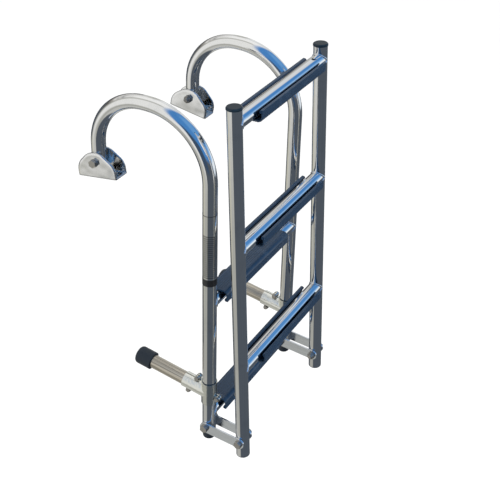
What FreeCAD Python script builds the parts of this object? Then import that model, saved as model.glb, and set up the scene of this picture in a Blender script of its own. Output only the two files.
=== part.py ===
"""Folding five-step boarding ladder that hooks over a boat's gunwale, in stainless tube.

The upper section is two bent stiles with goosenecks that reach inboard to a pair of deck
brackets. The lower section is folded up in front of it and hangs on four link plates.
Lengths are in millimetres. X points outboard, Y to the climber's right and Z up.
The model is worked out about the upper link bolts, on the middle plane, and is written out
about the middle of the left bracket's base face.
"""
import FreeCAD
import Part
import math
import os

V = FreeCAD.Vector

# Tubes
tube_diameter = 25.4
tube_wall = 1.25
stile_spacing = 300.0

# Upper section, measured from the upper link bolts
upper_tube_end = 13.5
step_pitch = 245.0
upper_step_count = 2
upper_step_first = 31.0
gooseneck_top = 624.4
outboard_bend_radius = 116.0
inboard_bend_radius = 96.4
gooseneck_crown = 7.6
bracket_pin_height = 494.2
hook_tube_end = 13.0

# Steps: a round rung under an arched, ribbed pad with rolled edges
pad_width = 43.4
pad_length = 226.0
upper_pad_shift = -13.0
lower_pad_shift = 14.0
pad_thickness = 2.6
pad_lip_depth = 21.5
pad_corner_radius = 9.5
pad_bead_radius = 3.1
pad_rib_count = 7
pad_rib_height = 0.5
pad_rib_width = 1.4

# Deck brackets
bracket_back = 37.5
bracket_front = 41.5
bracket_pin_rise = 27.2
bracket_top = 18.5
bracket_top_half = 12.0
bracket_shoulder_drop = 5.0
bracket_back_radius = 32.0
bracket_front_radius = 22.0
bracket_sheet = 3.0
bracket_side_gap = 0.3
bracket_bevel_depth = 1.0
bracket_bevel_width = 3.6
bracket_hole_spacing = 50.0
bracket_hole_diameter = 6.5
left_bracket_tilt = -8.6
right_bracket_tilt = 9.3

# Bolts
bolt_diameter = 8.0
bolt_clearance = 0.06
bolt_head_width = 13.0
bolt_head_height = 5.0
nut_dome_height = 8.5
washer_diameter = 15.0
washer_thickness = 1.2

# Fold links
link_span = 72.2
link_height = 21.0
link_thickness = 3.0
link_droop = 4.5
link_side_gap = 0.5

# Lower section, measured along its stiles from the lower link bolts
lower_lean = 2.6
lower_tube_end = 33.5
lower_step_first = 160.6
last_step_gap = 231.0
lower_tube_top = 663.5

# End fittings
cap_diameter = 27.0
cap_skirt = 1.5
cap_dome = 3.2
plug_rim = 2.6
plug_corner_radius = 2.2
plug_depth = 14.0
foot_diameter = 23.6
foot_drop = 17.2
foot_corner_radius = 4.0

# Standoff arms that lean on the hull
arm_height = 77.0
arm_rise = 9.0
arm_end = 152.0
arm_start = 17.0
bumper_diameter = 33.5
bumper_length = 33.0
bumper_wall_end = 4.0
bumper_corner_radius = 7.0

# Split tee clamps, with a thin plastic liner around the stile
clamp_wall = 1.6
clamp_liner = 0.6
clamp_liner_rim = 1.3
clamp_bottom = 54.0
clamp_top = 101.0
clamp_reach = 52.0
clamp_split = 2.0
clamp_ear_thickness = 3.0
clamp_ear_radius = 5.2
clamp_lower_bolt_along = 40.0
clamp_upper_bolt_along = 27.0
clamp_bolt_offset = 18.2
clamp_front_bolt_z = 68.0
clamp_bolt_diameter = 5.0
clamp_head_width = 8.0
clamp_head_height = 3.5
clamp_nut_height = 4.7
clamp_head_clearance = 0.35

tube_radius = tube_diameter / 2
tube_bore = tube_radius - tube_wall
half_spacing = stile_spacing / 2
hole_radius = bolt_diameter / 2 + bolt_clearance
link_inner_face = tube_radius + link_side_gap
link_outer_face = link_inner_face + link_thickness
bracket_inner_face = tube_radius + bracket_side_gap
bracket_outer_face = bracket_inner_face + bracket_sheet
bracket_length = bracket_back + bracket_front
bracket_middle = (bracket_front - bracket_back) / 2
gooseneck_reach = outboard_bend_radius + gooseneck_crown + inboard_bend_radius
clamp_bore = tube_radius + clamp_liner
clamp_outer = clamp_bore + clamp_wall


def turned(x, z, degrees):
    """The place of a point in the XZ plane after a turn about the Y axis."""
    angle = math.radians(degrees)
    across = x * math.cos(angle) + z * math.sin(angle)
    up = z * math.cos(angle) - x * math.sin(angle)
    return across, up


def origin_point():
    """The middle of the left bracket's base face, where the whole row has its origin."""
    x, z = turned(bracket_middle, -bracket_pin_rise, left_bracket_tilt)
    return V(x - gooseneck_reach, -half_spacing, z + bracket_pin_height)


ORIGIN = origin_point()


def export(name, shape):
    """Move a finished piece to the row's origin and write it."""
    placed = shape.copy()
    placed.translate(ORIGIN * -1)
    placed.exportStep(os.path.join("parts", name + ".step"))
    print(name, "solids", len(placed.Solids), "volume", round(placed.Volume), "valid", placed.isValid())


def moved(shape, x=0.0, y=0.0, z=0.0):
    """A copy of a shape, shifted."""
    copy = shape.copy()
    copy.translate(V(x, y, z))
    return copy


def spun(shape, centre, axis, degrees):
    """A copy of a shape, turned about an axis through a point."""
    copy = shape.copy()
    copy.rotate(centre, axis, degrees)
    return copy


def rod(radius, start, end):
    """A solid round bar between two points."""
    return Part.makeCylinder(radius, (end - start).Length, start, end - start)


def cross_rod(radius, x, z, y_low, y_high):
    """A round bar along Y."""
    return rod(radius, V(x, y_low, z), V(x, y_high, z))


def hexagon(width, height, x, z, y_start, direction):
    """A hexagonal prism along Y, for bolt heads and nuts."""
    corner = width / math.sqrt(3)
    points = []
    for k in range(7):
        angle = math.radians(60 * k + 30)
        points.append(V(x + corner * math.cos(angle), y_start, z + corner * math.sin(angle)))
    face = Part.Face(Part.makePolygon(points))
    return face.extrude(V(0, direction * height, 0))


def stile_path(y):
    """The centre line of one upper stile, from its foot to the end of its hook."""
    top = gooseneck_top
    first_start = top - outboard_bend_radius
    second_end = top - inboard_bend_radius
    crown_start = -outboard_bend_radius
    crown_end = crown_start - gooseneck_crown
    low = V(0, y, -upper_tube_end)
    bend_in = V(0, y, first_start)
    crown_in = V(crown_start, y, top)
    crown_out = V(crown_end, y, top)
    bend_out = V(-gooseneck_reach, y, second_end)
    end = V(-gooseneck_reach, y, bracket_pin_height - hook_tube_end)
    half_turn = math.sqrt(0.5)
    outboard = outboard_bend_radius * half_turn
    inboard = inboard_bend_radius * half_turn
    first_mid = V(crown_start + outboard, y, first_start + outboard)
    second_mid = V(crown_end - inboard, y, second_end + inboard)
    edges = [
        Part.LineSegment(low, bend_in).toShape(),
        Part.Arc(bend_in, first_mid, crown_in).toShape(),
        Part.LineSegment(crown_in, crown_out).toShape(),
        Part.Arc(crown_out, second_mid, bend_out).toShape(),
        Part.LineSegment(bend_out, end).toShape(),
    ]
    return Part.Wire(edges)


def swept(path, radius, y):
    """A round solid along a stile's centre line."""
    ring = Part.makeCircle(radius, V(0, y, -upper_tube_end), V(0, 0, 1))
    return path.makePipeShell([Part.Wire(ring)], True, False)


def upper_stile(y):
    """One bent tube: stile, gooseneck and the short leg into the deck bracket."""
    path = stile_path(y)
    tube = swept(path, tube_radius, y).cut(swept(path, tube_bore, y))
    reach = tube_radius + 1
    holes = [
        cross_rod(hole_radius, 0, 0, y - reach, y + reach),
        cross_rod(hole_radius, -gooseneck_reach, bracket_pin_height, y - reach, y + reach),
    ]
    return tube.cut(holes)


def rung(x, z, lean):
    """One step's tube, its ends shaped to sit against the round stiles."""
    half = half_spacing
    tube = cross_rod(tube_radius, x, z, -half, half)
    bore = cross_rod(tube_bore, x, z, -half - 1, half + 1)
    up = V(-math.sin(math.radians(lean)), 0, math.cos(math.radians(lean)))
    reach = 2 * tube_diameter
    cutters = [bore]
    for y in (-half, half):
        middle = V(x, y, z)
        cutters.append(rod(tube_radius, middle - up * reach, middle + up * reach))
    return tube.cut(cutters)


def arch(half, top, low, radius, overhang):
    """A bar along Y with both upper long edges rounded, longer than a pad by an overhang at each end."""
    length = pad_length + 2 * overhang
    bar = Part.makeBox(2 * half, length, top - low, V(-half, -length / 2, low))
    long_edges = []
    for edge in bar.Edges:
        middle = edge.CenterOfMass
        if abs(middle.z - top) < 0.01 and abs(abs(middle.x) - half) < 0.01:
            long_edges.append(edge)
    return bar.makeFillet(radius, long_edges)


def pad_profile():
    """Arched channel that caps a rung: a flat top, round shoulders and two rolled lips."""
    half = pad_width / 2
    top = tube_radius + pad_thickness
    low = top - pad_lip_depth
    shell = arch(half, top, low, pad_corner_radius, 0)
    hollow = arch(half - pad_thickness, tube_radius, low - 1, pad_corner_radius - pad_thickness, 1)
    beads = []
    for side in (-1, 1):
        x = side * (half - pad_bead_radius)
        z = low + pad_bead_radius
        beads.append(cross_rod(pad_bead_radius, x, z, -pad_length / 2, pad_length / 2))
    return shell.cut(hollow).fuse(beads).removeSplitter()


def pad():
    """One step's pad with fine grip ribs along its flat top."""
    body = pad_profile()
    top = tube_radius + pad_thickness
    span = pad_width - 2 * pad_corner_radius
    ribs = []
    for k in range(pad_rib_count):
        x = -span / 2 + span * k / (pad_rib_count - 1)
        corner = V(x - pad_rib_width / 2, -pad_length / 2, top - pad_rib_height)
        ribs.append(Part.makeBox(pad_rib_width, pad_length, 2 * pad_rib_height, corner))
    return body.fuse(ribs).removeSplitter()


def bracket_outline(y):
    """The side plate's D shape about its pin, as a flat face at one Y."""
    low = -bracket_pin_rise
    shoulder = -bracket_shoulder_drop
    points = [
        V(-bracket_back, y, low),
        V(bracket_front, y, low),
        V(bracket_front, y, shoulder),
        V(bracket_middle + bracket_top_half, y, bracket_top),
        V(bracket_middle - bracket_top_half, y, bracket_top),
        V(-bracket_back, y, shoulder),
    ]
    return Part.Face(Part.makePolygon(points + [points[0]]))


def bracket_cheek(side):
    """One side plate with rounded shoulders and a pressed rim."""
    inner = side * bracket_inner_face
    cheek = bracket_outline(inner).extrude(V(0, side * bracket_sheet, 0))
    for radius, towards in ((bracket_back_radius, -1), (bracket_front_radius, 1)):
        rounded = []
        for edge in cheek.Edges:
            middle = edge.CenterOfMass
            corner = edge.Curve.TypeId == "Part::GeomLine" and abs(edge.tangentAt(edge.FirstParameter).y) > 0.9
            sharp = corner and middle.z > -bracket_pin_rise + 1
            if sharp and towards * (middle.x - bracket_middle) > 0:
                rounded.append(edge)
        cheek = cheek.makeFillet(radius, rounded[:2])
    outer = side * bracket_outer_face
    rim = []
    for edge in cheek.Edges:
        middle = edge.CenterOfMass
        if abs(middle.y - outer) < 0.01 and middle.z > -bracket_pin_rise + 1:
            rim.append(edge)
    return cheek.makeChamfer(bracket_bevel_depth, bracket_bevel_width, rim)


def bracket():
    """U-shaped deck bracket about its pin, with two screw holes in its base."""
    low = -bracket_pin_rise
    width = 2 * bracket_inner_face
    base = Part.makeBox(bracket_length, width, bracket_sheet, V(-bracket_back, -bracket_inner_face, low))
    body = base.fuse([bracket_cheek(-1), bracket_cheek(1)]).removeSplitter()
    holes = [cross_rod(bolt_diameter / 2, 0, 0, -2 * bracket_outer_face, 2 * bracket_outer_face)]
    for side in (-1, 1):
        x = bracket_middle + side * bracket_hole_spacing / 2
        holes.append(Part.makeCylinder(bracket_hole_diameter / 2, 2 * bracket_sheet, V(x, 0, low - 1)))
    return body.cut(holes)


def pivot_bolt(x, z, y, outer_face, side):
    """Bolt, washers and domed nut across a stile. The head is on the outer side."""
    head_side = side
    grip = outer_face + washer_thickness
    shank = cross_rod(bolt_diameter / 2, x, z, y - grip - 1, y + grip + 1)
    head = hexagon(bolt_head_width, bolt_head_height, x, z, y + head_side * grip, head_side)
    nut = hexagon(bolt_head_width, bolt_head_height, x, z, y - head_side * grip, -head_side)
    dome_base = y - head_side * (grip + bolt_head_height)
    dome_radius = bolt_head_width * 0.43
    dome_top = dome_base - head_side * (nut_dome_height - bolt_head_height)
    dome = rod(dome_radius, V(x, dome_base, z), V(x, dome_top, z))
    dome = dome.makeFillet(
        dome_radius * 0.55,
        [e for e in dome.Edges if abs(e.CenterOfMass.y - dome_base) > 1 and e.Closed],
    )
    pieces = [head, nut, dome]
    for end in (-1, 1):
        pieces.append(rod(washer_diameter / 2, V(x, y + end * outer_face, z), V(x, y + end * grip, z)))
    return shank.fuse(pieces).removeSplitter()


def bracket_set(side, tilt):
    """One deck bracket and its bolt, turned about the bolt to the angle it rests at."""
    y = side * half_spacing
    place = V(-gooseneck_reach, y, bracket_pin_height)
    shell = spun(bracket(), V(0, 0, 0), V(0, 1, 0), tilt)
    bolt = spun(pivot_bolt(0, 0, 0, bracket_outer_face, side), V(0, 0, 0), V(0, 1, 0), tilt)
    return moved(shell, place.x, place.y, place.z), moved(bolt, place.x, place.y, place.z)


def link_piece(shape):
    """Turn a piece modelled on a level link about the upper link bolts, to the links' stowed angle."""
    return spun(shape, V(0, 0, 0), V(0, 1, 0), link_droop)


def link_plate(y_inner, y_outer):
    """Flat link with full round ends between the two link bolts."""
    radius = link_height / 2
    low = min(y_inner, y_outer)
    depth = abs(y_outer - y_inner)
    bar = Part.makeBox(link_span, depth, link_height, V(0, low, -radius))
    ends = [cross_rod(radius, x, 0, low, low + depth) for x in (0, link_span)]
    plate = bar.fuse(ends).removeSplitter()
    holes = [cross_rod(bolt_diameter / 2, x, 0, low - 1, low + depth + 1) for x in (0, link_span)]
    return plate.cut(holes)


def arm_piece(shape, y):
    """Turn a piece modelled on a level arm about the stile's axis, so that the arm rises to the hull."""
    return spun(shape, V(0, y, arm_height), V(0, 1, 0), arm_rise)


def ear(x, z, y, edge_x, edge_z):
    """A round lug about a clamp bolt, joined by a web to a point on the barrel or sleeve it closes."""
    half = clamp_ear_thickness + clamp_split / 2
    lug = cross_rod(clamp_ear_radius, x, z, y - half, y + half)
    low_x, high_x = sorted((x, edge_x))
    low_z, high_z = sorted((z, edge_z))
    reach_x = clamp_ear_radius if low_x == high_x else 0
    reach_z = clamp_ear_radius if low_z == high_z else 0
    corner = V(low_x - reach_x, y - half, low_z - reach_z)
    web = Part.makeBox(high_x - low_x + 2 * reach_x, 2 * half, high_z - low_z + 2 * reach_z, corner)
    return lug.fuse(web)


def standoff_clamp(y):
    """Split tee that grips the stile and carries the standoff arm: two bolted halves."""
    sleeve = rod(clamp_outer, V(0, y, clamp_bottom), V(0, y, clamp_top))
    barrel = rod(clamp_outer, V(0, y, arm_height), V(-clamp_reach, y, arm_height))
    for along, offset in clamp_arm_bolts():
        z = arm_height + offset
        barrel = barrel.fuse(ear(-along, z, y, -along, arm_height + math.copysign(tube_radius, offset)))
    front = ear(clamp_bolt_offset, clamp_front_bolt_z, y, tube_radius, clamp_front_bolt_z)
    body = sleeve.fuse([arm_piece(barrel, y), front]).removeSplitter()
    height = 2 * (clamp_top - clamp_bottom)
    bore = rod(tube_radius, V(0, y, arm_height), V(-clamp_reach - 1, y, arm_height))
    cutters = [
        rod(clamp_bore, V(0, y, clamp_bottom - 1), V(0, y, clamp_top + 1)),
        arm_piece(bore, y),
        Part.makeBox(
            3 * clamp_reach,
            clamp_split,
            height,
            V(-2 * clamp_reach, y - clamp_split / 2, arm_height - height / 2),
        ),
    ]
    recess = clamp_head_width / math.sqrt(3) + clamp_head_clearance
    ear_half = clamp_ear_thickness + clamp_split / 2
    for x, z in clamp_bolt_places():
        cutters.append(cross_rod(clamp_bolt_diameter / 2, x, z, y - 2 * clamp_outer, y + 2 * clamp_outer))
        cutters.append(cross_rod(recess, x, z, y - 2 * clamp_outer, y - ear_half))
        cutters.append(cross_rod(recess, x, z, y + ear_half, y + 2 * clamp_outer))
    return body.cut(cutters)


def clamp_arm_bolts():
    """The two bolts beside the arm: how far along it from the stile, and how far above its axis."""
    return [(clamp_lower_bolt_along, -clamp_bolt_offset), (clamp_upper_bolt_along, clamp_bolt_offset)]


def clamp_bolt_places():
    """Where the clamp's three bolts pass, in the XZ plane."""
    places = []
    for along, offset in clamp_arm_bolts():
        x, z = turned(-along, offset, arm_rise)
        places.append((x, z + arm_height))
    return places + [(clamp_bolt_offset, clamp_front_bolt_z)]


def clamp_liner_ring(y):
    """The thin liner between clamp and stile, a little longer than the sleeve."""
    low = clamp_bottom - clamp_liner_rim
    high = clamp_top + clamp_liner_rim
    ring = rod(clamp_bore, V(0, y, low), V(0, y, high))
    ring = ring.cut(rod(tube_radius, V(0, y, low - 1), V(0, y, high + 1)))
    return ring


def clamp_bolts(y, side):
    """The three short bolts that close a clamp, each with its nut."""
    ear_half = clamp_ear_thickness + clamp_split / 2
    bolts = []
    for x, z in clamp_bolt_places():
        shank = cross_rod(clamp_bolt_diameter / 2, x, z, y - ear_half - 1, y + ear_half + 1)
        head = hexagon(clamp_head_width, clamp_head_height, x, z, y + side * ear_half, side)
        nut = hexagon(clamp_head_width, clamp_nut_height, x, z, y - side * ear_half, -side)
        bolts.append(shank.fuse([head, nut]).removeSplitter())
    return Part.makeCompound(bolts)


def standoff_arm(y):
    """The short tube from the clamp to the bumper."""
    start = V(-arm_start, y, arm_height)
    end = V(-arm_end, y, arm_height)
    tube = rod(tube_radius, start, end).cut(rod(tube_bore, start + V(1, 0, 0), end - V(1, 0, 0)))
    return arm_piece(tube, y)


def bumper(y):
    """Rubber cup over the arm's free end."""
    radius = bumper_diameter / 2
    face = -arm_end - bumper_wall_end
    cup = rod(radius, V(face, y, arm_height), V(face + bumper_length, y, arm_height))
    edge = [e for e in cup.Edges if abs(e.CenterOfMass.x - face) < 0.01 and e.Closed]
    cup = cup.makeFillet(bumper_corner_radius, edge)
    bore = rod(tube_radius, V(-arm_end, y, arm_height), V(0, y, arm_height))
    return arm_piece(cup.cut(bore), y)


def stile_foot(y):
    """Rubber foot pushed into the lower end of an upper stile."""
    radius = foot_diameter / 2
    low = -upper_tube_end - foot_drop
    foot = Part.makeCylinder(radius, foot_drop, V(0, y, low))
    edge = [e for e in foot.Edges if abs(e.CenterOfMass.z - low) < 0.01 and e.Closed]
    foot = foot.makeFillet(foot_corner_radius, edge)
    clear = upper_tube_end - bolt_diameter / 2 - 1
    return foot.fuse(Part.makeCylinder(tube_bore, clear, V(0, y, -upper_tube_end))).removeSplitter()


def lower_frame_piece(shape):
    """Stand a piece modelled along Z on the lower link bolts, with the section's lean."""
    placed = spun(shape, V(0, 0, 0), V(0, 1, 0), -lower_lean)
    x, z = turned(link_span, 0, link_droop)
    return moved(placed, x, 0, z)


def lower_stile(y):
    """One straight tube of the lower section."""
    low = V(0, y, -lower_tube_end)
    high = V(0, y, lower_tube_top)
    tube = rod(tube_radius, low, high).cut(rod(tube_bore, low - V(0, 0, 1), high + V(0, 0, 1)))
    return tube.cut(cross_rod(hole_radius, 0, 0, y - tube_diameter, y + tube_diameter))


def stile_cap(y):
    """Domed cap pressed on the upper end of a lower stile."""
    radius = cap_diameter / 2
    base = lower_tube_top - cap_skirt
    cap = Part.makeCylinder(radius, cap_skirt + cap_dome, V(0, y, base))
    edge = [e for e in cap.Edges if abs(e.CenterOfMass.z - lower_tube_top - cap_dome) < 0.01 and e.Closed]
    cap = cap.makeFillet(cap_dome * 0.9, edge)
    return cap.cut(Part.makeCylinder(tube_radius, cap_skirt, V(0, y, base)))


def stile_plug(y):
    """Flush plug in the other end of a lower stile."""
    low = -lower_tube_end - plug_rim
    rim = Part.makeCylinder(tube_radius, plug_rim, V(0, y, low))
    edge = [e for e in rim.Edges if abs(e.CenterOfMass.z - low) < 0.01 and e.Closed]
    rim = rim.makeFillet(plug_corner_radius, edge)
    return rim.fuse(Part.makeCylinder(tube_bore, plug_depth, V(0, y, -lower_tube_end))).removeSplitter()


def upper_section():
    """Everything fixed to the two bent stiles."""
    for side, word in ((-1, "left"), (1, "right")):
        y = side * half_spacing
        export(word + "_hook_stile", upper_stile(y))
        export(word + "_stile_foot", stile_foot(y))
        export(word + "_standoff_clamp", standoff_clamp(y))
        export(word + "_clamp_liner", clamp_liner_ring(y))
        export(word + "_clamp_bolts", clamp_bolts(y, side))
        export(word + "_standoff_arm", standoff_arm(y))
        export(word + "_standoff_bumper", bumper(y))
    for k in range(upper_step_count):
        z = upper_step_first + step_pitch * (upper_step_count - 1 - k)
        export("step_%d_rung" % (k + 1), rung(0, z, 0))
        export("step_%d_pad" % (k + 1), moved(pad(), 0, upper_pad_shift, z))


def deck_brackets():
    """The two brackets, each on its own bolt."""
    for side, word, tilt in ((-1, "left", left_bracket_tilt), (1, "right", right_bracket_tilt)):
        shell, bolt = bracket_set(side, tilt)
        export(word + "_deck_bracket", shell)
        export(word + "_bracket_bolt", bolt)


def fold_links():
    """Two plates and two bolts on each side."""
    for side, word in ((-1, "left"), (1, "right")):
        y = side * half_spacing
        near = y + side * link_inner_face
        export(word + "_outer_link", link_piece(link_plate(near, near + side * link_thickness)))
        near = y - side * link_inner_face
        export(word + "_inner_link", link_piece(link_plate(near, near - side * link_thickness)))
        export(word + "_upper_link_bolt", link_piece(pivot_bolt(0, 0, y, link_outer_face, side)))
        export(word + "_lower_link_bolt", link_piece(pivot_bolt(link_span, 0, y, link_outer_face, side)))


def lower_section():
    """The straight section, folded up in front with its steps upside down."""
    for side, word in ((-1, "left"), (1, "right")):
        y = side * half_spacing
        export(word + "_lower_stile", lower_frame_piece(lower_stile(y)))
        export(word + "_stile_cap", lower_frame_piece(stile_cap(y)))
        export(word + "_stile_plug", lower_frame_piece(stile_plug(y)))
    upside_down = spun(pad(), V(0, 0, 0), V(0, 1, 0), 180)
    places = [lower_step_first, lower_step_first + step_pitch]
    places.append(places[-1] + last_step_gap)
    for k, z in enumerate(places):
        number = upper_step_count + 1 + k
        export("step_%d_rung" % number, lower_frame_piece(rung(0, z, 0)))
        export("step_%d_pad" % number, lower_frame_piece(moved(upside_down, 0, lower_pad_shift, z)))


def main():
    os.makedirs("parts", exist_ok=True)
    upper_section()
    deck_brackets()
    fold_links()
    lower_section()
    print("origin", ORIGIN)


main()
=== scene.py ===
# %% [markdown]
# # A folding boarding ladder in polished steel
#
# The model of the ladder is already built at its real size, one named node for each piece. This lesson
# dresses it: a camera at the photograph's angle, a bright studio, and a finish for every surface. The hard
# part of such an object is that polished steel has almost no colour of its own. What the eye sees is the
# room around it, so the room gets as much care as the metal.

# %% Load the ladder
import math

import bpy
from mathutils import Matrix, Vector


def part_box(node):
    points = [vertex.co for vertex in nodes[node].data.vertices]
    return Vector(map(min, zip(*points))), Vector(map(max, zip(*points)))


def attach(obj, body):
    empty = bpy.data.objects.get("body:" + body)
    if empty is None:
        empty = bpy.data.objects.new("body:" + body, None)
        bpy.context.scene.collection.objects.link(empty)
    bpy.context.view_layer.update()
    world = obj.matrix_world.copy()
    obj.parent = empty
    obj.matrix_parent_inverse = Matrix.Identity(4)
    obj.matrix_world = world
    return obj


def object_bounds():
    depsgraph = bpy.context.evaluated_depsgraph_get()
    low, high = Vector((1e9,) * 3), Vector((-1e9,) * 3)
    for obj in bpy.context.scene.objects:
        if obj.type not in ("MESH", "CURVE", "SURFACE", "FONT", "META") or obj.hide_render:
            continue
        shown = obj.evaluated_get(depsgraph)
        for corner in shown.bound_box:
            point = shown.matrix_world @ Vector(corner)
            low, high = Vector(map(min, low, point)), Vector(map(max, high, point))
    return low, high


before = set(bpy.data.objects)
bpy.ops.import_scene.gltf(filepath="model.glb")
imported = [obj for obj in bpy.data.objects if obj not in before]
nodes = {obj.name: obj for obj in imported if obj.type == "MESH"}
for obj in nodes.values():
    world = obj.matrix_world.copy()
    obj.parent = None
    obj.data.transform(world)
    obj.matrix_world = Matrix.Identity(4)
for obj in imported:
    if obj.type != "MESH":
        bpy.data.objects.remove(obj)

cad_low, cad_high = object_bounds()
print("nodes", len(nodes), "box", [round(high - low, 3) for low, high in zip(cad_low, cad_high)])

# %% [markdown]
# ## The camera
#
# The ladder was photographed from above and a little to one side, from about two metres away. A camera can
# be aimed with a constraint, or with three angles. Angles are used here, because a photograph is matched by
# turning one angle at a time: azimuth round the object, elevation above it, and a slight roll. A small shift
# of the lens sets the framing without turning the camera.

# %% Place the camera
sensor_width = 36.0
camera_lens = 76.44
camera_shift = -0.06
camera_place = Vector((0.9789, -1.2752, 0.8919))
camera_azimuth = math.radians(28.43)
camera_elevation = math.radians(31.6)
camera_roll = math.radians(1.58)

look = Vector((
    -math.sin(camera_azimuth) * math.cos(camera_elevation),
    math.cos(camera_azimuth) * math.cos(camera_elevation),
    -math.sin(camera_elevation),
))
camera = bpy.data.objects.new("camera", bpy.data.cameras.new("camera"))
camera.data.sensor_width = sensor_width
camera.data.lens = camera_lens
camera.data.shift_y = camera_shift
camera.location = camera_place
camera.rotation_mode = "QUATERNION"
roll = Matrix.Rotation(camera_roll, 3, "Z").to_quaternion()
camera.rotation_quaternion = look.to_track_quat("-Z", "Y") @ roll
bpy.context.scene.collection.objects.link(camera)
bpy.context.scene.camera = camera
print("camera looks along", [round(c, 3) for c in look])

# %% [markdown]
# ## Small helpers for node trees
#
# A material is a graph. Writing each link by hand gets long, so two helpers make a node with its values set
# and join two sockets. Everything that follows reads as a list of what feeds what.


# %% Helpers for nodes
def add_node(tree, kind, values=None, **settings):
    """A new node. settings are its own options, and values are what its input sockets start with."""
    made = tree.nodes.new(kind)
    for option, value in settings.items():
        setattr(made, option, value)
    for socket, value in (values or {}).items():
        made.inputs[socket].default_value = value
    return made


def join(tree, source, target):
    """A link from an output socket to an input socket."""
    tree.links.new(source, target)


def blank_group(name, inputs, outputs):
    """An empty shader group with float inputs, and outputs of the kinds given."""
    tree = bpy.data.node_groups.new(name, "ShaderNodeTree")
    for label, default in inputs.items():
        socket = tree.interface.new_socket(name=label, in_out="INPUT", socket_type="NodeSocketFloat")
        socket.default_value = default
    for label, kind in outputs.items():
        tree.interface.new_socket(name=label, in_out="OUTPUT", socket_type=kind)
    return tree, tree.nodes.new("NodeGroupInput"), tree.nodes.new("NodeGroupOutput")


print("helpers ready")

# %% [markdown]
# ## The surroundings that the steel reflects
#
# A mirror finish shows its surroundings, so the sky is painted by direction. A ramp over height gives the
# land behind the ladder, and washes are laid over it, one after another: blue sky and bright water on the
# seaward side, and pale ground on the near side. Each wash has a colour and a list of slopes. A slope is a
# heading and two numbers, and the wash fades in as a ray turns from the first number to the second, measured
# as the cosine to that heading. Slopes multiply, so two or three of them fence off a piece of the sky.
#
# The usual way is to wrap a photograph of a real sky round the scene. Painted washes are used here, because
# each can be moved on its own until the streaks in the tubes fall where they should.

# %% Choose the surroundings
# The first number of a row is the height of a ray, from -1 straight down to 1 straight up.
land_by_height = [
    (-1.00, (0.060, 0.070, 0.085)),
    (-0.10, (0.088, 0.102, 0.122)),
    (0.12, (0.110, 0.105, 0.100)),
    (0.24, (0.400, 0.385, 0.360)),
    (0.31, (0.860, 0.860, 0.850)),
    (0.37, (0.480, 0.475, 0.465)),
    (0.43, (0.740, 0.735, 0.720)),
    (0.49, (0.360, 0.360, 0.370)),
    (0.55, (0.760, 0.755, 0.745)),
    (0.66, (0.800, 0.795, 0.785)),
    (0.80, (0.960, 0.960, 0.955)),
    (1.00, (0.960, 0.960, 0.960)),
]
seaward = (1, 0, 0)
shoreward = (-1, 0, 0)
far_side = (0, 1, 0)
near_side = (0, -1, 0)
upward = (0, 0, 1)
downward = (0, 0, -1)
washes = [
    ("far shore, pale", (0.74, 0.76, 0.78), [
        (far_side, 0.45, 0.75),
        (seaward, -0.56, -0.46),
        (upward, -0.50, -0.20),
    ]),
    ("far haze, white", (0.92, 0.93, 0.95), [
        (far_side, 0.81, 0.87),
        (seaward, -0.18, -0.34),
        (upward, -0.46, -0.16),
    ]),
    ("far shallows", (0.50, 0.50, 0.47), [
        (far_side, 0.45, 0.75),
        (seaward, -0.56, -0.46),
        (shoreward, 0.33, 0.41),
        (upward, -0.64, -0.54),
    ]),
    ("near side, grey", (0.42, 0.42, 0.39), [
        (near_side, 0.02, 0.36),
        (seaward, 0.00, -0.20),
    ]),
    ("beige bank", (0.55, 0.54, 0.46), [
        ((-0.94, -0.34, 0), 0.76, 0.84),
        (upward, -0.36, -0.48),
        (upward, -0.66, -0.56),
    ]),
    ("ground below", (0.56, 0.56, 0.54), [
        (downward, 0.62, 0.80),
        (seaward, 0.06, -0.16),
    ]),
    ("near side, pale", (0.86, 0.86, 0.85), [
        (near_side, 0.26, 0.52),
        (seaward, 0.02, -0.14),
        (upward, -0.58, -0.30),
    ]),
    ("seaward ground", (0.084, 0.100, 0.124), [
        (seaward, -0.14, 0.02),
        (upward, 0.02, -0.10),
    ]),
    ("seaward sky", (0.070, 0.245, 0.590), [
        ((0.98, -0.17, 0), -0.10, 0.12),
        (upward, -0.02, 0.16),
    ]),
    ("sky overhead", (0.135, 0.345, 0.690), [
        ((0.60, 0.25, 0.76), 0.76, 0.98),
        (seaward, 0.10, 0.40),
    ]),
    ("seaward haze", (0.320, 0.560, 0.900), [
        (seaward, 0.10, 0.30),
        (far_side, 0.20, 0.60),
        (upward, 0.40, 0.10),
        (upward, -0.30, -0.16),
    ]),
    ("bright water", (0.88, 0.94, 1.00), [
        ((0.62, 0.75, 0), 0.86, 0.94),
        (upward, 0.08, -0.04),
        (upward, -0.32, -0.20),
    ]),
    ("dark trees", (0.045, 0.080, 0.145), [
        (near_side, 0.62, 0.84),
        (seaward, -0.08, 0.04),
        (upward, 0.46, 0.24),
        (upward, -0.34, -0.20),
    ]),
    ("low sun on a cloud", (1.00, 1.00, 1.00), [
        ((0.90, -0.06, 0.43), 0.960, 0.980),
    ]),
]
print("washes", [row[0] for row in washes])

# %% [markdown]
# ## Paint them on the world
#
# The world's shader is one long chain: the ramp over height first, and then a Mix node for each wash, whose
# factor is the product of its slopes.


# %% Helpers for one wash
def slope(tree, ray, heading, start, end):
    """0 to 1 as a ray's cosine to a heading goes from start to end."""
    toward = add_node(tree, "ShaderNodeVectorMath", operation="DOT_PRODUCT")
    toward.inputs[1].default_value = Vector(heading).normalized()
    join(tree, ray, toward.inputs[0])
    fade = add_node(
        tree, "ShaderNodeMapRange", {"From Min": start, "From Max": end},
        interpolation_type="SMOOTHSTEP",
    )
    join(tree, toward.outputs["Value"], fade.inputs["Value"])
    return fade.outputs["Result"]


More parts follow.
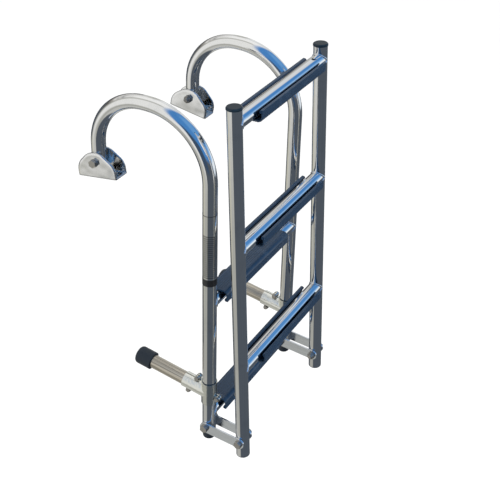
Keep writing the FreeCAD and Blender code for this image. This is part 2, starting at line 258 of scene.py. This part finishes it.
def wash(tree, ray, below, title, colour, slopes):
    """Lay one colour over what is below it, where all of its slopes are 1."""
    mask = slope(tree, ray, *slopes[0])
    for row in slopes[1:]:
        both = add_node(tree, "ShaderNodeMath", operation="MULTIPLY")
        join(tree, mask, both.inputs[0])
        join(tree, slope(tree, ray, *row), both.inputs[1])
        mask = both.outputs[0]
    blend = add_node(tree, "ShaderNodeMix", data_type="RGBA", label=title)
    blend.inputs["B"].default_value = (*colour, 1.0)
    join(tree, mask, blend.inputs["Factor"])
    join(tree, below, blend.inputs["A"])
    return blend.outputs["Result"]


print("wash helpers ready")

# %% Paint the surroundings
world = bpy.data.worlds.new("surroundings")
world.use_nodes = True
bpy.context.scene.world = world
sky = world.node_tree
sky.nodes.clear()
ray = add_node(sky, "ShaderNodeTexCoord").outputs["Generated"]
split = add_node(sky, "ShaderNodeSeparateXYZ")
join(sky, ray, split.inputs[0])
height = add_node(sky, "ShaderNodeMapRange", {"From Min": -1.0, "From Max": 1.0})
join(sky, split.outputs["Z"], height.inputs["Value"])
ramp = add_node(sky, "ShaderNodeValToRGB")
join(sky, height.outputs["Result"], ramp.inputs["Fac"])
while len(ramp.color_ramp.elements) < len(land_by_height):
    ramp.color_ramp.elements.new(1.0)
for stop, (level, colour) in zip(ramp.color_ramp.elements, land_by_height):
    stop.position = (level + 1) / 2
    stop.color = (*colour, 1.0)
reflected = ramp.outputs["Color"]
for title, colour, slopes in washes:
    reflected = wash(sky, ray, reflected, title, colour, slopes)
print("nodes in the sky", len(sky.nodes))

# %% [markdown]
# ## Three kinds of ray
#
# Only mirror reflections should find the painted sky. Rays straight from the camera see plain white, as in a
# studio, and rays that light matt surfaces see an even pale dome. A Light Path node keeps the three apart.

# %% Join the sky, the dome and the backdrop
dome_colour = (1.03, 1.03, 1.03, 1.0)
backdrop_colour = (1.0, 1.0, 1.0, 1.0)
path = add_node(sky, "ShaderNodeLightPath")
dome_or_sky = add_node(sky, "ShaderNodeMix", data_type="RGBA")
dome_or_sky.inputs["A"].default_value = dome_colour
join(sky, path.outputs["Is Glossy Ray"], dome_or_sky.inputs["Factor"])
join(sky, reflected, dome_or_sky.inputs["B"])
behind = add_node(sky, "ShaderNodeMix", data_type="RGBA")
behind.inputs["B"].default_value = backdrop_colour
join(sky, path.outputs["Is Camera Ray"], behind.inputs["Factor"])
join(sky, dome_or_sky.outputs["Result"], behind.inputs["A"])
background = add_node(sky, "ShaderNodeBackground", {"Strength": 1.0})
join(sky, behind.outputs["Result"], background.inputs["Color"])
join(sky, background.outputs[0], add_node(sky, "ShaderNodeOutputWorld").inputs["Surface"])
bpy.context.scene.view_settings.view_transform = "Standard"
print("world", world.name, "with", len(sky.nodes), "nodes")

# %% [markdown]
# ## Lights and floor
#
# The ladder hangs from its deck brackets, so the floor lies well below the lowest point that the unfolded
# section can reach. Two large soft lights give the matt plastics their shape. Lights and floor are hidden
# from mirror reflections: a square lamp would show as a square in a polished tube, and a white floor would
# take the place of the dark ground that is painted in the sky.

# %% Add the lights
middle_of_ladder = (cad_low + cad_high) / 2
studio_lights = [
    ("key_light", (-0.9, -2.3, 2.0), 1.3, 26.0, (1.0, 0.97, 0.92)),
    ("fill_light", (2.4, 0.6, 1.6), 1.6, 14.0, (0.90, 0.95, 1.0)),
]
for title, offset, size, power, colour in studio_lights:
    lamp = bpy.data.lights.new(title, "AREA")
    lamp.shape = "SQUARE"
    lamp.size = size
    lamp.energy = power
    lamp.color = colour
    light = bpy.data.objects.new(title, lamp)
    light.location = middle_of_ladder + Vector(offset)
    light.rotation_mode = "QUATERNION"
    light.rotation_quaternion = (-Vector(offset)).to_track_quat("-Z", "Y")
    light.visible_glossy = False
    bpy.context.scene.collection.objects.link(light)
print("lights", [row[0] for row in studio_lights])

# %% Add the floor
unfolded_drop = 1.15
floor_clearance = 0.12
floor_half_size = 30.0
lower_reach = (cad_high.z - cad_low.z) * unfolded_drop
floor_level = cad_low.z - lower_reach - floor_clearance
floor_mesh = bpy.data.meshes.new("floor")
corners = []
for x, y in ((-1, -1), (1, -1), (1, 1), (-1, 1)):
    corners.append((x * floor_half_size, y * floor_half_size, floor_level))
floor_mesh.from_pydata(corners, [], [(0, 1, 2, 3)])
floor = bpy.data.objects.new("floor", floor_mesh)
bpy.context.scene.collection.objects.link(floor)
floor.visible_glossy = False
pale = bpy.data.materials.new("pale_floor")
pale.use_nodes = True
pale_shader = pale.node_tree.nodes["Principled BSDF"]
pale_shader.inputs["Base Color"].default_value = (0.97, 0.97, 0.97, 1.0)
pale_shader.inputs["Roughness"].default_value = 0.9
pale_shader.inputs["Specular IOR Level"].default_value = 0.0
floor_mesh.materials.append(pale)
print("floor at", round(floor_level, 3))

# %% [markdown]
# ## Effects that several finishes share
#
# Four effects come back on more than one material, so each is a node group with its own inputs.
#
# - Drawn lines: tube is pulled through a die and buffed, which leaves hair-fine lines along it. Noise is
#   squeezed hard across the tube and stretched along it. Where a tube leans, the noise is tilted with it.
# - Smudges: hands and spray dull a polish in soft cloudy spots.
# - Fine grain: moulded plastic and rubber have an even, tiny texture.
# - Edge wear and shade: the Bevel node rounds the normal near an edge. Where it differs from the true normal,
#   there is an edge, and that difference is the mask. On the plastics it marks rubbed wear, and on the
#   brackets it places a painted shade along the rim.


# %% Drawn lines
def drawn_lines_group():
    tree, inside, outside = blank_group(
        "drawn_lines",
        {"Along X": 60.0, "Along Y": 60.0, "Along Z": 60.0, "Tilt": 0.0},
        {"Lines": "NodeSocketFloat"},
    )
    stretch = add_node(tree, "ShaderNodeCombineXYZ")
    for axis in "XYZ":
        join(tree, inside.outputs["Along " + axis], stretch.inputs[axis])
    upright = add_node(tree, "ShaderNodeVectorRotate", rotation_type="Y_AXIS")
    join(tree, add_node(tree, "ShaderNodeTexCoord").outputs["Object"], upright.inputs["Vector"])
    join(tree, inside.outputs["Tilt"], upright.inputs["Angle"])
    place = add_node(tree, "ShaderNodeVectorMath", operation="MULTIPLY")
    join(tree, upright.outputs["Vector"], place.inputs[0])
    join(tree, stretch.outputs[0], place.inputs[1])
    noise = add_node(tree, "ShaderNodeTexNoise", {"Scale": 1.0, "Detail": 3.0, "Roughness": 0.6})
    join(tree, place.outputs["Vector"], noise.inputs["Vector"])
    join(tree, noise.outputs["Fac"], outside.inputs["Lines"])
    return tree


drawn_lines = drawn_lines_group()
print("group", drawn_lines.name)


# %% Smudges
def smudges_group():
    tree, inside, outside = blank_group(
        "smudges",
        {"Scale": 18.0, "Threshold": 0.52},
        {"Mask": "NodeSocketFloat"},
    )
    noise = add_node(tree, "ShaderNodeTexNoise", {"Detail": 5.0, "Roughness": 0.62, "Distortion": 0.4})
    join(tree, add_node(tree, "ShaderNodeTexCoord").outputs["Object"], noise.inputs["Vector"])
    join(tree, inside.outputs["Scale"], noise.inputs["Scale"])
    edge = add_node(tree, "ShaderNodeMapRange", {"From Max": 0.78}, interpolation_type="SMOOTHSTEP")
    join(tree, noise.outputs["Fac"], edge.inputs["Value"])
    join(tree, inside.outputs["Threshold"], edge.inputs["From Min"])
    join(tree, edge.outputs["Result"], outside.inputs["Mask"])
    return tree


smudges = smudges_group()
print("group", smudges.name)


# %% Fine grain
def fine_grain_group():
    tree, inside, outside = blank_group(
        "fine_grain",
        {"Scale": 900.0, "Sharpness": 0.5},
        {"Height": "NodeSocketFloat"},
    )
    place = add_node(tree, "ShaderNodeTexCoord").outputs["Object"]
    cells = add_node(tree, "ShaderNodeTexVoronoi", {"Randomness": 1.0})
    noise = add_node(tree, "ShaderNodeTexNoise", {"Detail": 2.0})
    blend = add_node(tree, "ShaderNodeMix", data_type="FLOAT")
    for texture in (cells, noise):
        join(tree, place, texture.inputs["Vector"])
        join(tree, inside.outputs["Scale"], texture.inputs["Scale"])
    join(tree, inside.outputs["Sharpness"], blend.inputs["Factor"])
    join(tree, noise.outputs["Fac"], blend.inputs["A"])
    join(tree, cells.outputs["Distance"], blend.inputs["B"])
    join(tree, blend.outputs["Result"], outside.inputs["Height"])
    return tree


fine_grain = fine_grain_group()
print("group", fine_grain.name)


# %% Edge wear and shade
def edge_wear_and_shade_group():
    tree, inside, outside = blank_group(
        "edge_wear_and_shade",
        {"Width": 0.0008, "Breakup": 220.0},
        {"Mask": "NodeSocketFloat"},
    )
    rounded = add_node(tree, "ShaderNodeBevel", samples=6)
    join(tree, inside.outputs["Width"], rounded.inputs["Radius"])
    agree = add_node(tree, "ShaderNodeVectorMath", operation="DOT_PRODUCT")
    join(tree, rounded.outputs["Normal"], agree.inputs[0])
    join(tree, add_node(tree, "ShaderNodeNewGeometry").outputs["Normal"], agree.inputs[1])
    edge = add_node(tree, "ShaderNodeMapRange", {"From Min": 0.995, "From Max": 0.90})
    join(tree, agree.outputs["Value"], edge.inputs["Value"])
    noise = add_node(tree, "ShaderNodeTexNoise", {"Detail": 3.0})
    join(tree, add_node(tree, "ShaderNodeTexCoord").outputs["Object"], noise.inputs["Vector"])
    join(tree, inside.outputs["Breakup"], noise.inputs["Scale"])
    patchy = add_node(tree, "ShaderNodeMath", operation="MULTIPLY")
    join(tree, edge.outputs["Result"], patchy.inputs[0])
    join(tree, noise.outputs["Fac"], patchy.inputs[1])
    join(tree, patchy.outputs[0], outside.inputs["Mask"])
    return tree


edge_wear_and_shade = edge_wear_and_shade_group()
print("group", edge_wear_and_shade.name)

# %% [markdown]
# ## Small helpers for finishes
#
# A finish is built from the groups above, and the same few steps come back in each: place a group, mix two
# colours with a mask, and shift a value from one range to another.


# %% Helpers for finishes
def place_group(tree, group, **values):
    """A group placed in a material, with its inputs set. An underscore in a name stands for a space."""
    made = add_node(tree, "ShaderNodeGroup")
    made.node_tree = group
    for socket, value in values.items():
        made.inputs[socket.replace("_", " ")].default_value = value
    return made


def mixed_colour(tree, mask, first, second):
    """A colour that goes from first to second with a mask."""
    blend = add_node(tree, "ShaderNodeMix", data_type="RGBA")
    blend.inputs["A"].default_value = (*first, 1.0)
    blend.inputs["B"].default_value = (*second, 1.0)
    join(tree, mask, blend.inputs["Factor"])
    return blend.outputs["Result"]


def shifted(tree, value, source=(0.0, 1.0), target=(0.0, 1.0)):
    """A value moved from one range to another."""
    limits = {"From Min": source[0], "From Max": source[1], "To Min": target[0], "To Max": target[1]}
    made = add_node(tree, "ShaderNodeMapRange", limits)
    join(tree, value, made.inputs["Value"])
    return made.outputs["Result"]


print("finish helpers ready")

# %% [markdown]
# ## Steel
#
# All the metal is the same stainless steel. What changes is how it was finished: the bent tubes are
# mirror-polished, the standoff arms were left satin, and the cast clamps were tumbled. One function makes
# every steel. It takes the base colour, how rough the polish is, and which way the lines run, and each
# finish is then one call with its own numbers. No real edge is perfectly sharp, so a Bevel node bends the
# normal close to each edge. The pressed rim of the brackets gets a wide bend and the other pieces a hairline.
# Its colour is also painted near black along that rim, as a painted shade.
#
# The shader's own Anisotropic input would smear the highlights along a tube too, but evenly. Real lines are
# uneven, so noise is used to tint, roughen and dent the surface a little.

# %% One function for every steel finish
smudge_threshold = 0.50
line_levels = (0.38, 0.62)
line_roughness = (-0.02, 0.03)
rim_shade_breakup = 60.0


def steel(name, clean, dulled, roughness, line_scale, line_depth,
          smudge_scale=18.0, line_tint=0.0, line_height=0.0002, tilt=0.0, edge_radius=0.0003,
          rim_shade_colour=None):
    """A metal with drawn lines and smudges. The lines tint, roughen and dent it; smudges dull it."""
    material = bpy.data.materials.new(name)
    material.use_nodes = True
    tree = material.node_tree
    shader = tree.nodes["Principled BSDF"]
    shader.inputs["Metallic"].default_value = 1.0
    lines = place_group(
        tree, drawn_lines,
        Along_X=line_scale[0], Along_Y=line_scale[1], Along_Z=line_scale[2], Tilt=tilt,
    )
    cloud = place_group(tree, smudges, Scale=smudge_scale, Threshold=smudge_threshold)

    shade = add_node(tree, "ShaderNodeMix", data_type="RGBA", blend_type="MULTIPLY")
    shade.inputs["B"].default_value = (1.0 - line_tint, 1.0 - line_tint, 1.0 - line_tint, 1.0)
    join(tree, shifted(tree, lines.outputs["Lines"], source=line_levels), shade.inputs["Factor"])
    join(tree, mixed_colour(tree, cloud.outputs["Mask"], clean, dulled), shade.inputs["A"])
    colour = shade.outputs["Result"]
    # Painted shade: near the edges the base colour is mixed towards a near-black rim colour.
    if rim_shade_colour:
        rim = place_group(tree, edge_wear_and_shade, Width=edge_radius, Breakup=rim_shade_breakup)
        blend = add_node(tree, "ShaderNodeMix", data_type="RGBA")
        blend.inputs["B"].default_value = (*rim_shade_colour, 1.0)
        join(tree, rim.outputs["Mask"], blend.inputs["Factor"])
        join(tree, colour, blend.inputs["A"])
        colour = blend.outputs["Result"]
    join(tree, colour, shader.inputs["Base Color"])

    rough = add_node(tree, "ShaderNodeMath", operation="ADD")
    join(tree, shifted(tree, cloud.outputs["Mask"], target=roughness), rough.inputs[0])
    join(tree, shifted(tree, lines.outputs["Lines"], target=line_roughness), rough.inputs[1])
    join(tree, rough.outputs[0], shader.inputs["Roughness"])

    rounded = add_node(tree, "ShaderNodeBevel", {"Radius": edge_radius}, samples=8)
    bump = add_node(tree, "ShaderNodeBump", {"Strength": line_depth, "Distance": line_height})
    join(tree, lines.outputs["Lines"], bump.inputs["Height"])
    join(tree, rounded.outputs["Normal"], bump.inputs["Normal"])
    join(tree, bump.outputs["Normal"], shader.inputs["Normal"])
    return material


print("the steel recipe is ready")

# %% [markdown]
# ## The steel finishes
#
# Lines have to run along each tube. The lower stiles and the standoff arms lean, so their angles are measured
# between two pieces at their ends and passed on as a tilt. On the brackets the same noise is made very coarse
# and deep: it stands for the soft waves of pressed sheet.

# %% Mix the steel finishes
bright = (0.87, 0.87, 0.86)
hazy = (0.76, 0.77, 0.77)
along_z = (900, 900, 6)
along_y = (900, 6, 900)


def centre(node):
    """The middle of a node's box."""
    low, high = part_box(node)
    return (low + high) / 2


lower_up = (centre("left_stile_cap") - centre("left_stile_plug")).normalized()
lower_tilt = math.atan2(-lower_up.x, lower_up.z)
arm_outward = centre("left_standoff_arm") - centre("left_standoff_bumper")
arm_tilt = math.atan2(arm_outward.z, arm_outward.x)

upright_steel = steel(
    "polished_upright", bright, hazy,
    roughness=(0.06, 0.13), line_scale=along_z, line_depth=0.10, line_tint=0.05,
)
leaning_steel = steel(
    "polished_lower_upright", bright, hazy,
    roughness=(0.06, 0.13), line_scale=along_z, line_depth=0.10, line_tint=0.05, tilt=lower_tilt,
)
rung_steel = steel(
    "polished_rung", bright, hazy,
    roughness=(0.04, 0.09), line_scale=along_y, line_depth=0.05, line_tint=0.04,
)
link_steel = steel(
    "brushed_link", (0.80, 0.83, 0.87), (0.68, 0.71, 0.76),
    roughness=(0.20, 0.30), line_scale=(12, 700, 900), line_depth=0.25, line_tint=0.10,
)
bracket_steel = steel(
    "pressed_bracket", (0.86, 0.86, 0.85), (0.68, 0.70, 0.73),
    roughness=(0.12, 0.24), line_scale=(9, 9, 9), line_depth=0.80, line_tint=0.05,
    # the near-black rim colour is a painted shade along the pressed edge
    smudge_scale=30.0, line_height=0.0065, edge_radius=0.0034, rim_shade_colour=(0.02, 0.03, 0.06),
)
cast_steel = steel(
    "tumbled_casting", (0.80, 0.80, 0.74), (0.60, 0.60, 0.56),
    roughness=(0.20, 0.34), line_scale=(60, 60, 60), line_depth=0.60, line_height=0.0010,
)
satin_steel = steel(
    "satin_arm", (0.60, 0.55, 0.46), (0.48, 0.44, 0.37),
    roughness=(0.24, 0.34), line_scale=(4, 420, 420), line_depth=0.45, line_tint=0.46, tilt=arm_tilt,
)
bolt_steel = steel(
    "bolt_steel", (0.46, 0.44, 0.40), (0.32, 0.31, 0.29),
    roughness=(0.50, 0.64), line_scale=(300, 300, 300), line_depth=0.10,
)
steel_finishes = (
    upright_steel, leaning_steel, rung_steel, link_steel,
    bracket_steel, cast_steel, satin_steel, bolt_steel,
)
print("steel finishes", [finish.name for finish in steel_finishes])

# %% [markdown]
# ## Plastic and rubber
#
# The step pads, tube caps, feet and bumpers are black, but outdoors black plastic takes the blue of the sky.
# Each gets a very dark blue-grey, a grain in its bump, and edges that hands and shoes have rubbed a little
# paler. A picture could give the grain too, but noise has no seams and the same size on every piece.


# %% One function for the moulded parts
rub_width = 0.0012
rub_breakup = 260.0
scuff_share = 0.35
grain_height = 0.0002


def moulded(name, colour, rubbed, roughness, grain_scale, grain_depth, gloss=0.5):
    """A plastic or rubber with a fine grain, scuffed spots and rubbed edges."""
    material = bpy.data.materials.new(name)
    material.use_nodes = True
    tree = material.node_tree
    shader = tree.nodes["Principled BSDF"]
    shader.inputs["Specular IOR Level"].default_value = gloss
    edge = place_group(tree, edge_wear_and_shade, Width=rub_width, Breakup=rub_breakup)
    cloud = place_group(tree, smudges, Scale=26.0, Threshold=0.46)
    grain = place_group(tree, fine_grain, Scale=grain_scale, Sharpness=0.55)
    worn = add_node(tree, "ShaderNodeMath", operation="MAXIMUM")
    join(tree, edge.outputs["Mask"], worn.inputs[0])
    join(tree, shifted(tree, cloud.outputs["Mask"], target=(0.0, scuff_share)), worn.inputs[1])
    join(tree, mixed_colour(tree, worn.outputs[0], colour, rubbed), shader.inputs["Base Color"])
    join(tree, shifted(tree, cloud.outputs["Mask"], target=roughness), shader.inputs["Roughness"])
    bump = add_node(tree, "ShaderNodeBump", {"Strength": grain_depth, "Distance": grain_height})
    join(tree, grain.outputs["Height"], bump.inputs["Height"])
    join(tree, bump.outputs["Normal"], shader.inputs["Normal"])
    return material


pad_plastic = moulded(
    "step_pad", (0.013, 0.034, 0.072), (0.045, 0.090, 0.160),
    roughness=(0.20, 0.32), grain_scale=1100.0, grain_depth=0.40, gloss=0.45,
)
cap_plastic = moulded(
    "tube_cap", (0.008, 0.017, 0.028), (0.030, 0.050, 0.072),
    roughness=(0.08, 0.18), grain_scale=500.0, grain_depth=0.04, gloss=0.24,
)
rubber = moulded(
    "matt_rubber", (0.011, 0.018, 0.027), (0.030, 0.042, 0.056),
    roughness=(0.50, 0.64), grain_scale=700.0, grain_depth=0.25, gloss=0.35,
)
print("moulded finishes", pad_plastic.name, cap_plastic.name, rubber.name)

# %% [markdown]
# ## Dress the nodes
#
# The names of the nodes say what each piece is, so the finish is chosen by the ending of its name. Left and
# right pieces then match, and no piece is forgotten: a name with no finish would stop the script.

# %% Give every node its finish
finishes = {
    "_hook_stile": upright_steel,
    "_lower_stile": leaning_steel,
    "_rung": rung_steel,
    "_pad": pad_plastic,
    "_stile_foot": rubber,
    "_standoff_bumper": rubber,
    "_stile_cap": cap_plastic,
    "_stile_plug": cap_plastic,
    "_standoff_clamp": cast_steel,
    "_clamp_liner": cap_plastic,
    "_standoff_arm": satin_steel,
    "_deck_bracket": bracket_steel,
    "_link": link_steel,
    "_bolt": bolt_steel,
    "_bolts": bolt_steel,
}
for name, node in nodes.items():
    ending = next(e for e in finishes if name.endswith(e))
    if not node.data.materials:
        node.data.materials.append(finishes[ending])
    for slot in node.material_slots:
        slot.material = finishes[ending]
print("dressed", len(nodes), "nodes")

# %% [markdown]
# ## Weld beads
#
# Each rung is shaped to a stile and welded round. Two tubes of one diameter meet along a saddle: at an angle
# t round the rung, the seam stands off the stile's axis by the radius times the sine of t. A bead is a thin
# ring of circles carried along that curve, and its radius swells a little with each pass of the torch. A
# Boolean could find the curve too, but the formula is one line and gives clean quads.



# %% Helpers for added pieces
def mesh_piece(name, vertices, faces, material, body):
    """A smooth mesh object that rides on a body."""
    mesh = bpy.data.meshes.new(name)
    mesh.from_pydata([tuple(v) for v in vertices], [], faces)
    mesh.polygons.foreach_set("use_smooth", [True] * len(mesh.polygons))
    mesh.materials.append(material)
    piece = bpy.data.objects.new(name, mesh)
    bpy.context.scene.collection.objects.link(piece)
    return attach(piece, body)


def ring_faces(rings, sides, first):
    """Quads between rings of vertices, closed both ways."""
    quads = []
    for i in range(rings):
        for j in range(sides):
            a = first + i * sides + j
            b = first + i * sides + (j + 1) % sides
            c = first + ((i + 1) % rings) * sides + (j + 1) % sides
            d = first + ((i + 1) % rings) * sides + j
            quads.append((a, b, c, d))
    return quads


print("mesh helpers ready")

# %% The shape of one bead
rung_low, rung_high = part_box("step_3_rung")
tube_radius = (rung_high.x - rung_low.x) / 2
bead_radius = 0.0017
bead_steps = 144
bead_sides = 10
bead_ripples = 44
bead_ripple_depth = 0.10


def bead(middle, up, side):
    """Vertices of one bead. middle is on both tubes' axes, up runs along the stile, side is +1 or -1."""
    out = Vector((up.z, 0, -up.x))
    curve = []
    for i in range(bead_steps):
        t = 2 * math.pi * i / bead_steps
        reach = tube_radius * abs(math.sin(t))
        spot = middle + out * (tube_radius * math.cos(t)) + up * (tube_radius * math.sin(t))
        curve.append(spot - Vector((0, side * reach, 0)))
    vertices = []
    for i, spot in enumerate(curve):
        along = (curve[(i + 1) % bead_steps] - curve[i - 1]).normalized()
        away = (spot - middle).normalized()
        across = along.cross(away).normalized()
        away = across.cross(along)
        swell = 1 + bead_ripple_depth * math.sin(2 * math.pi * bead_ripples * i / bead_steps)
        for j in range(bead_sides):
            turn = 2 * math.pi * j / bead_sides
            offset = away * math.cos(turn) + across * math.sin(turn)
            vertices.append(spot + offset * (bead_radius * swell))
    return vertices


print("tube radius", round(tube_radius, 5))

# %% Lay a bead round both ends of every rung
weld_steel = steel(
    "weld_bead", (0.82, 0.83, 0.84), (0.60, 0.63, 0.68),
    roughness=(0.12, 0.30), line_scale=(400, 400, 400), line_depth=0.2, smudge_scale=90.0,
)
stile_y = {side: centre(f"{side}_lower_stile").y for side in ("left", "right")}
bead_jobs = {
    "upper_rung_welds": ("upper_section", (1, 2), Vector((0, 0, 1))),
    "lower_rung_welds": ("lower_section", (3, 4, 5), lower_up),
}
for title, (body, steps, up) in bead_jobs.items():
    vertices, faces = [], []
    for step in steps:
        rung_middle = centre(f"step_{step}_rung")
        for side, word in ((-1, "left"), (1, "right")):
            joint = Vector((rung_middle.x, stile_y[word], rung_middle.z))
            faces += ring_faces(bead_steps, bead_sides, len(vertices))
            vertices += bead(joint, up, side)
    welds = mesh_piece(title, vertices, faces, weld_steel, body)
    print(title, len(faces), "faces")

# %% [markdown]
# ## A film sleeve on one stile
#
# A clear film is shrunk round the left hook stile. A plain row of fine rings is printed on it, its upper edge
# shows as a hairline, and its lower edge is taped down with a black band. A sleeve and a ring are the same
# shape: a closed wall between two heights, wrapped round the stile. The wall starts just inside the tube, so
# that no gap can show. Its level edges are marked sharp, which keeps the end faces from bending what the
# film reflects. The sleeve could be a stripe in the tube's own material, but a real film has a thickness
# that catches light.

# %% Sizes of the sleeve
sleeve_above_clamp = 0.268
sleeve_height = 0.136
sleeve_film = 0.00010
ring_pitch = 0.0039
ring_width = 0.0015
ring_count = 22
ring_first = 0.0135
ring_film = 0.00018
band_overhang = 0.0035
band_height = 0.0135
band_film = 0.00035
hairline_width = 0.0010
wall_sides = 96
wall_root = 0.0002
level_tolerance = 0.0002

clamp_middle = centre("left_clamp_liner")
sleeve_axis = Vector((clamp_middle.x, clamp_middle.y, 0))
sleeve_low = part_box("left_clamp_liner")[0].z + sleeve_above_clamp
sleeve_top = sleeve_low + sleeve_height
print("sleeve from", round(sleeve_low, 4), "to", round(sleeve_top, 4))


# %% Helpers for the sleeve
def wall(vertices, faces, inner, outer, low, high):
    """Add a closed round wall between two radii and two heights."""
    faces.extend(ring_faces(4, wall_sides, len(vertices)))
    for radius, level in ((inner, low), (outer, low), (outer, high), (inner, high)):
        for k in range(wall_sides):
            turn = 2 * math.pi * k / wall_sides
            offset = Vector((radius * math.cos(turn), radius * math.sin(turn), level))
            vertices.append(sleeve_axis + offset)


def sleeve_piece(name, walls, material):
    """One mesh of round walls on the left hook stile. Each wall is a low, a high and a thickness."""
    vertices, faces = [], []
    for low, high, film in walls:
        wall(vertices, faces, tube_radius - wall_root, tube_radius + film, low, high)
    piece = mesh_piece(name, vertices, faces, material, "upper_section")
    for edge in piece.data.edges:
        first, second = (piece.data.vertices[v].co for v in edge.vertices)
        edge.use_edge_sharp = abs(first.z - second.z) < level_tolerance
    print(name, len(faces), "faces")


print("sleeve helpers ready")

# %% Wrap the film sleeve
film_steel = steel(
    "film_on_steel", (0.80, 0.80, 0.78), (0.70, 0.71, 0.70),
    roughness=(0.10, 0.16), line_scale=along_z, line_depth=0.05,
)
ring_ink = moulded(
    "ring_ink", (0.010, 0.011, 0.013), (0.030, 0.031, 0.034),
    roughness=(0.24, 0.34), grain_scale=900.0, grain_depth=0.05,
)
ring_walls = []
for k in range(ring_count):
    low = sleeve_low + ring_first + k * ring_pitch
    ring_walls.append((low, low + ring_width, ring_film))
ring_walls.append((sleeve_top - hairline_width, sleeve_top, ring_film))
band_low = sleeve_low - band_overhang
sleeve_piece("sleeve_film", [(sleeve_low, sleeve_top, sleeve_film)], film_steel)
sleeve_piece("sleeve_rings", ring_walls, ring_ink)
sleeve_piece("sleeve_band", [(band_low, band_low + band_height, band_film)], ring_ink)
